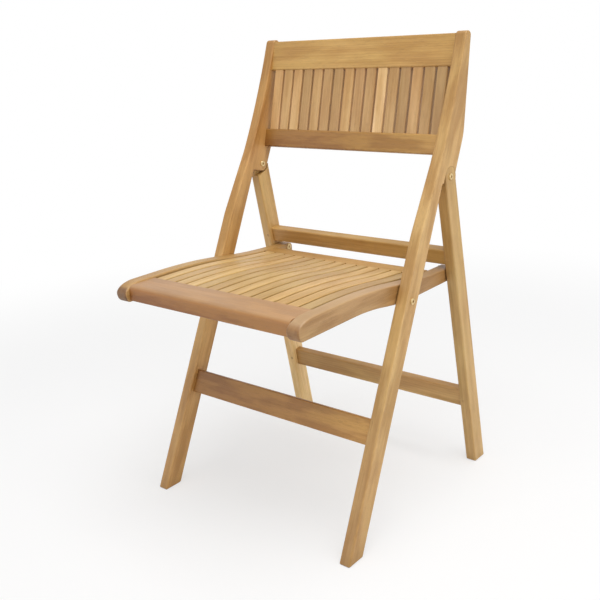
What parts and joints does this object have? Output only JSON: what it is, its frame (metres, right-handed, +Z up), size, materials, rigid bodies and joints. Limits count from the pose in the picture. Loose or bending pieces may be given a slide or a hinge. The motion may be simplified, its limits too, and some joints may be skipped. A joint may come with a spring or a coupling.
{
  "type": "folding chair",
  "caption": "Slatted hardwood folding chair with a curved seat, crossed leg frames on brass pivot bolts and an upright slatted back panel.",
  "frame": {"origin": "centre of the chair's bounding box at floor level, chair standing open", "axes": "+Z up, -Y is the chair's front, +X is the sitter's left; the longest extent is along Z"},
  "size_m": [0.4842, 0.5496, 0.8666],
  "materials": {
    "frame_teak": "sanded and oiled, honey brown",
    "slat_teak": "sanded and oiled, pale honey",
    "pin_wood": "sanded end grain, pale",
    "brass": "satin, slightly tarnished"
  },
  "bodies": {
    "front_frame": {"left_upright": "frame_teak", "right_upright": "frame_teak", "front_stretcher": "frame_teak", "back_top_rail": "frame_teak", "back_bottom_rail": "frame_teak", "back_slat_01": "slat_teak", "back_slat_02": "slat_teak", "back_slat_03": "slat_teak", "back_slat_04": "slat_teak", "back_slat_05": "slat_teak", "back_slat_06": "slat_teak", "back_slat_07": "slat_teak", "back_slat_08": "slat_teak", "back_slat_09": "slat_teak", "back_slat_10": "slat_teak", "back_slat_11": "slat_teak", "back_slat_12": "slat_teak", "back_slat_13": "slat_teak", "back_slat_14": "slat_teak", "back_slat_15": "slat_teak", "back_slat_16": "slat_teak", "leg_pivot_bolts": "brass", "leg_pivot_nuts": "brass", "seat_pivot_bolts": "brass", "seat_pivot_nuts": "brass"},
    "rear_frame": {"left_rear_leg": "frame_teak", "right_rear_leg": "frame_teak", "upper_rear_rail": "frame_teak", "lower_rear_rail": "frame_teak", "tenon_pins": "pin_wood"},
    "seat": {"left_seat_rail": "frame_teak", "right_seat_rail": "frame_teak", "seat_front_rail": "frame_teak", "seat_rear_rail": "frame_teak", "seat_slat_01": "slat_teak", "seat_slat_02": "slat_teak", "seat_slat_03": "slat_teak", "seat_slat_04": "slat_teak", "seat_slat_05": "slat_teak", "seat_slat_06": "slat_teak", "seat_slat_07": "slat_teak", "seat_slat_08": "slat_teak", "seat_slat_09": "slat_teak", "seat_slat_10": "slat_teak", "seat_slat_11": "slat_teak", "seat_slat_12": "slat_teak", "seat_slat_13": "slat_teak", "seat_slat_14": "slat_teak", "seat_guide_pins": "brass"}
  },
  "joints": [
    {"name": "seat_fold", "type": "hinge", "parent": "front_frame", "child": "seat", "pos_m": [0, 0.00978, 0.4135], "axis": [-1, 0, 0], "range_deg": [0, 104.2]},
    {"name": "rear_frame_fold", "type": "hinge", "parent": "front_frame", "child": "rear_frame", "pos_m": [0, 0.1474, 0.612], "axis": [-1, 0, 0], "range_deg": [0, 35.5]}
  ],
  "couplings": [
    {"joint": "rear_frame_fold", "follows": "seat_fold", "ratio": 0.34041}
  ]
}
